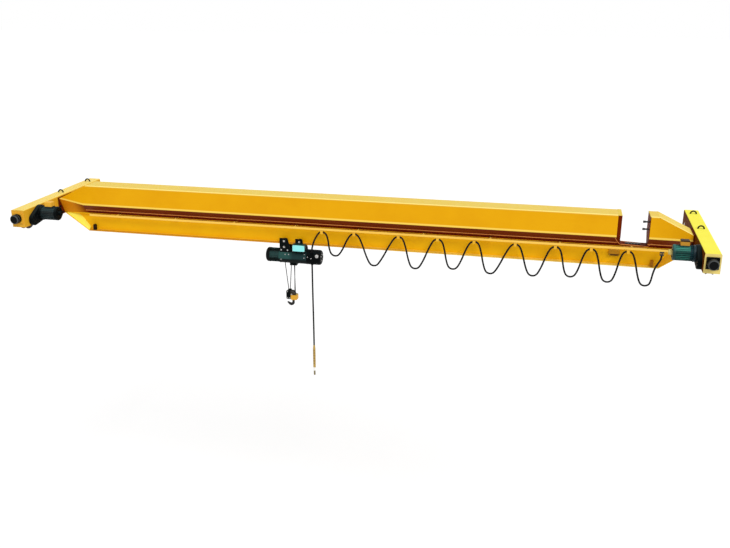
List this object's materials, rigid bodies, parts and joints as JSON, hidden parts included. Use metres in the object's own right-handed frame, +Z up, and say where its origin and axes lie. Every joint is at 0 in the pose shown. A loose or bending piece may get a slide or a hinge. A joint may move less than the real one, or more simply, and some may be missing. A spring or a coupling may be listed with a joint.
{
  "type": "overhead bridge crane",
  "caption": "Yellow single-girder overhead bridge crane with an underslung wire rope hoist, hook block, festoon cable and pendant control.",
  "frame": {"origin": "mid-span, on the girder's centre plane, at the level of the runway rails' tops", "axes": "+X along the girder, +Y away from the festoon track, +Z up"},
  "size_m": [10.748, 2.658, 3.1155],
  "materials": {
    "girder_yellow": "worn gloss paint",
    "primer_brown": "matt primer",
    "black_paint": "satin paint",
    "motor_green": "satin paint",
    "hoist_green": "satin paint",
    "track_yellow": "gloss paint",
    "pendant_yellow": "moulded",
    "pale_plastic": "moulded",
    "pale_cover": "gloss paint",
    "black_plastic": "moulded",
    "rubber": "moulded",
    "cable_rubber": "extruded sheath",
    "bare_steel": "turned",
    "wheel_steel": "turned tread",
    "carrier_zinc": "zinc plate",
    "wire_rope": "stranded",
    "hook_black": "forged, painted"
  },
  "bodies": {
    "bridge": {"main_trough": "girder_yellow", "end_trough": "girder_yellow", "front_inclined_plate": "primer_brown", "rear_inclined_plate": "primer_brown", "lower_i_beam": "girder_yellow", "girder_end_plates": "primer_brown", "end_gussets": "girder_yellow", "cutout_frame": "primer_brown", "terminal_strip": "black_plastic", "cable_stubs": "black_plastic", "trolley_end_stops": "black_paint", "switch_box": "girder_yellow", "left_end_carriage": "girder_yellow", "right_end_carriage": "girder_yellow", "wheel_axles": "bare_steel", "rubber_buffers": "rubber", "lifting_lugs": "black_paint", "left_gear_case": "black_paint", "right_gear_case": "black_paint", "left_travel_motor": "motor_green", "right_travel_motor": "motor_green", "left_motor_covers": "black_paint", "right_motor_covers": "black_paint", "festoon_track": "track_yellow", "track_brackets": "track_yellow", "cable_end_clamp": "black_plastic", "festoon_cable": "cable_rubber"},
    "trolley": {"hoist_motor": "hoist_green", "hoist_drum_shell": "hoist_green", "hoist_gearbox": "black_paint", "gearbox_boss": "bare_steel", "front_trolley_plates": "hoist_green", "rear_trolley_plates": "hoist_green", "trolley_wheels": "wheel_steel", "trolley_tie_rods": "bare_steel", "control_box": "hoist_green", "control_box_cover": "pale_cover", "rope_guide": "black_paint", "rope_falls": "wire_rope", "pendant_cable": "cable_rubber", "pendant_station": "pendant_yellow", "pendant_tail": "pale_plastic"},
    "hook_block": {"sheaves": "wheel_steel", "block_cheeks": "black_paint", "block_crosshead": "girder_yellow"},
    "hook": {"hook": "hook_black"},
    "left_front_wheel_body": {"left_front_wheel": "wheel_steel"},
    "left_rear_wheel_body": {"left_rear_wheel": "wheel_steel"},
    "right_front_wheel_body": {"right_front_wheel": "wheel_steel"},
    "right_rear_wheel_body": {"right_rear_wheel": "wheel_steel"},
    "carrier_1": {"festoon_carrier_1": "carrier_zinc"},
    "carrier_2": {"festoon_carrier_2": "carrier_zinc"},
    "carrier_3": {"festoon_carrier_3": "carrier_zinc"},
    "carrier_4": {"festoon_carrier_4": "carrier_zinc"},
    "carrier_5": {"festoon_carrier_5": "carrier_zinc"},
    "carrier_6": {"festoon_carrier_6": "carrier_zinc"},
    "carrier_7": {"festoon_carrier_7": "carrier_zinc"},
    "carrier_8": {"festoon_carrier_8": "carrier_zinc"},
    "carrier_9": {"festoon_carrier_9": "carrier_zinc"}
  },
  "joints": [
    {"name": "trolley_travel", "type": "slide", "parent": "bridge", "child": "trolley", "axis": [1, 0, 0], "range_m": [-3.3, 3.45], "deforming": ["festoon_cable"]},
    {"name": "lift", "type": "slide", "parent": "trolley", "child": "hook_block", "axis": [0, 0, 1], "range_m": [-4.5, 0.25], "deforming": ["rope_falls"]},
    {"name": "hook_swivel", "type": "hinge", "parent": "hook_block", "child": "hook", "pos_m": [-1.061, 0, -1.28], "axis": [0, 0, 1], "continuous": true},
    {"name": "left_front_wheel_spin", "type": "hinge", "parent": "bridge", "child": "left_front_wheel_body", "pos_m": [-5.25, -1, 0.135], "axis": [1, 0, 0], "continuous": true},
    {"name": "left_rear_wheel_spin", "type": "hinge", "parent": "bridge", "child": "left_rear_wheel_body", "pos_m": [-5.25, 1, 0.135], "axis": [1, 0, 0], "continuous": true},
    {"name": "right_front_wheel_spin", "type": "hinge", "parent": "bridge", "child": "right_front_wheel_body", "pos_m": [5.25, -1, 0.135], "axis": [1, 0, 0], "continuous": true},
    {"name": "right_rear_wheel_spin", "type": "hinge", "parent": "bridge", "child": "right_rear_wheel_body", "pos_m": [5.25, 1, 0.135], "axis": [1, 0, 0], "continuous": true},
    {"name": "carrier_9_slide", "type": "slide", "parent": "bridge", "child": "carrier_9", "axis": [1, 0, 0], "range_m": [-0.3054, 0.3192]},
    {"name": "carrier_8_slide", "type": "slide", "parent": "carrier_9", "child": "carrier_8", "axis": [1, 0, 0], "range_m": [-0.3402, 0.3555]},
    {"name": "carrier_7_slide", "type": "slide", "parent": "carrier_8", "child": "carrier_7", "axis": [1, 0, 0], "range_m": [-0.3364, 0.3516]},
    {"name": "carrier_6_slide", "type": "slide", "parent": "carrier_7", "child": "carrier_6", "axis": [1, 0, 0], "range_m": [-0.3825, 0.3998]},
    {"name": "carrier_5_slide", "type": "slide", "parent": "carrier_6", "child": "carrier_5", "axis": [1, 0, 0], "range_m": [-0.3996, 0.4176]},
    {"name": "carrier_4_slide", "type": "slide", "parent": "carrier_5", "child": "carrier_4", "axis": [1, 0, 0], "range_m": [-0.3629, 0.3793]},
    {"name": "carrier_3_slide", "type": "slide", "parent": "carrier_4", "child": "carrier_3", "axis": [1, 0, 0], "range_m": [-0.3951, 0.413]},
    {"name": "carrier_2_slide", "type": "slide", "parent": "carrier_3", "child": "carrier_2", "axis": [1, 0, 0], "range_m": [-0.4558, 0.4764]},
    {"name": "carrier_1_slide", "type": "slide", "parent": "carrier_2", "child": "carrier_1", "axis": [1, 0, 0], "range_m": [-0.3402, 0.3555]}
  ],
  "couplings": [
    {"joint": "carrier_9_slide", "follows": "trolley_travel", "ratio": 0.091936},
    {"joint": "carrier_8_slide", "follows": "trolley_travel", "ratio": 0.10247},
    {"joint": "carrier_7_slide", "follows": "trolley_travel", "ratio": 0.10132},
    {"joint": "carrier_6_slide", "follows": "trolley_travel", "ratio": 0.1153},
    {"joint": "carrier_5_slide", "follows": "trolley_travel", "ratio": 0.12047},
    {"joint": "carrier_4_slide", "follows": "trolley_travel", "ratio": 0.10937},
    {"joint": "carrier_3_slide", "follows": "trolley_travel", "ratio": 0.11913},
    {"joint": "carrier_2_slide", "follows": "trolley_travel", "ratio": 0.13752},
    {"joint": "carrier_1_slide", "follows": "trolley_travel", "ratio": 0.10247}
  ]
}
